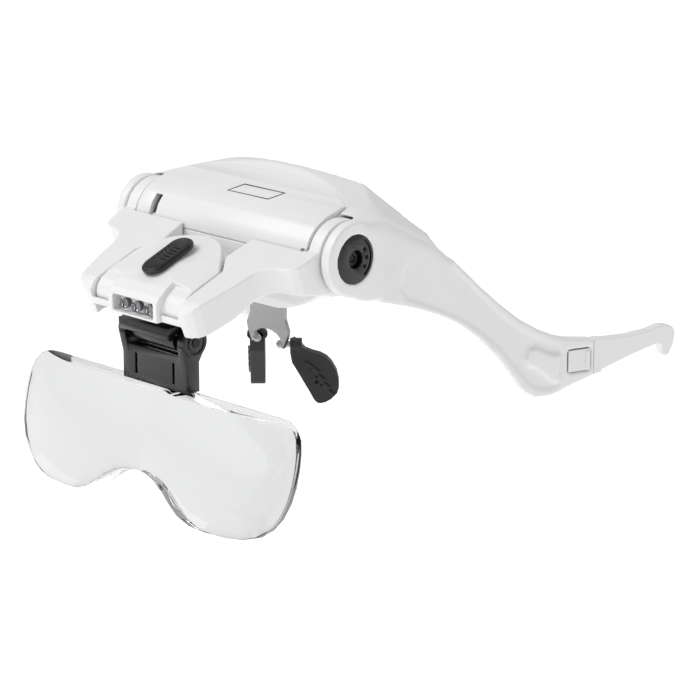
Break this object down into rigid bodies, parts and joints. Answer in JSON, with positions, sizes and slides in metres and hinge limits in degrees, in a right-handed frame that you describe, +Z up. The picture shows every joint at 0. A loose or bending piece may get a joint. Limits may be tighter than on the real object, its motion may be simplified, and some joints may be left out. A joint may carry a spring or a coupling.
{
  "type": "head visor magnifier",
  "caption": "Head-worn magnifier: forehead housing with side wings and ear legs, flip-up visor frame with tilting LED lamp, and a clear lens on a swinging holder.",
  "frame": {"origin": "middle of the forehead plate, where the wearer's forehead rests", "axes": "+Z up, -Y the way the wearer looks, +X the wearer's left; the hub axis runs along X"},
  "size_m": [0.149, 0.1581, 0.0936],
  "materials": {
    "white_shell": "satin",
    "black_plastic": "satin",
    "black_rubber": "matte",
    "steel": "brushed",
    "cell_sleeve": "satin",
    "circuit_board": "satin",
    "led_clear": "clear",
    "clear_lens": "clear"
  },
  "bodies": {
    "head_frame": {"front_housing": "white_shell", "forehead_plate": "white_shell", "wing_left": "white_shell", "wing_right": "white_shell", "hub_cap_left": "black_plastic", "hub_cap_right": "black_plastic", "hub_screws": "steel", "hub_sleeves": "steel", "battery_tray": "black_plastic", "battery_cells": "cell_sleeve", "battery_contacts": "steel", "nose_plate": "steel", "nose_plate_screws": "steel", "case_screws": "steel"},
    "battery_cover": {"battery_cover": "white_shell"},
    "visor_frame": {"visor_frame": "white_shell", "hub_washers": "black_plastic", "lens_bracket": "black_plastic", "bracket_pin": "steel", "lamp_pins": "steel", "bracket_screws": "steel"},
    "lamp": {"lamp_shell": "white_shell", "lamp_base": "white_shell", "lamp_board": "circuit_board", "leds": "led_clear", "led_bezel": "white_shell", "switch_body": "black_plastic", "lamp_screws": "steel"},
    "switch": {"switch_button": "black_plastic"},
    "lens_holder": {"lens_holder": "black_plastic", "click_spring": "steel"},
    "lens": {"lens": "clear_lens"},
    "ear_leg_left": {"ear_leg_left": "white_shell"},
    "ear_leg_right": {"ear_leg_right": "white_shell"},
    "leg_catch_left": {"leg_catch_left": "white_shell"},
    "leg_catch_right": {"leg_catch_right": "white_shell"},
    "nose_pad_left": {"nose_pad_left": "black_rubber"},
    "nose_pad_right": {"nose_pad_right": "black_rubber"}
  },
  "joints": [
    {"name": "cover_lift", "type": "slide", "parent": "head_frame", "child": "battery_cover", "axis": [0, 0.8387, 0.5446], "range_m": [0, 0.014]},
    {"name": "visor_flip", "type": "hinge", "parent": "head_frame", "child": "visor_frame", "pos_m": [0, -0.019, -0.008], "axis": [-1, 0, 0], "range_deg": [0, 55]},
    {"name": "lamp_tilt", "type": "hinge", "parent": "visor_frame", "child": "lamp", "pos_m": [0, -0.0573, -0.021], "axis": [1, 0, 0], "range_deg": [0, 24]},
    {"name": "switch_slide", "type": "slide", "parent": "lamp", "child": "switch", "axis": [0, -0.933, -0.36], "range_m": [-0.0015, 0.0015]},
    {"name": "holder_swing", "type": "hinge", "parent": "visor_frame", "child": "lens_holder", "pos_m": [0, -0.0527, -0.0319], "axis": [-1, 0, 0], "range_deg": [-8, 55]},
    {"name": "lens_pull", "type": "slide", "parent": "lens_holder", "child": "lens", "axis": [0, 0, -1], "range_m": [0, 0.008]},
    {"name": "leg_left_slide", "type": "slide", "parent": "head_frame", "child": "ear_leg_left", "axis": [0.342, 0.9397, 0], "range_m": [0, 0.01]},
    {"name": "leg_right_slide", "type": "slide", "parent": "head_frame", "child": "ear_leg_right", "axis": [-0.342, 0.9397, 0], "range_m": [0, 0.01]},
    {"name": "catch_left_press", "type": "hinge", "parent": "head_frame", "child": "leg_catch_left", "pos_m": [0.06606, 0.05093, -0.0486], "axis": [0, 0, 1], "range_deg": [0, 4], "stiffness_Nm_per_rad": 0.3},
    {"name": "catch_right_press", "type": "hinge", "parent": "head_frame", "child": "leg_catch_right", "pos_m": [-0.06606, 0.05093, -0.0486], "axis": [0, 0, -1], "range_deg": [0, 4], "stiffness_Nm_per_rad": 0.3},
    {"name": "pad_left_swivel", "type": "hinge", "parent": "head_frame", "child": "nose_pad_left", "pos_m": [0.00812, -0.00688, -0.0429], "axis": [0.7071, 0.7071, 0], "range_deg": [-10, 10]},
    {"name": "pad_right_swivel", "type": "hinge", "parent": "head_frame", "child": "nose_pad_right", "pos_m": [-0.00812, -0.00688, -0.0429], "axis": [-0.7071, 0.7071, 0], "range_deg": [-10, 10]}
  ]
}
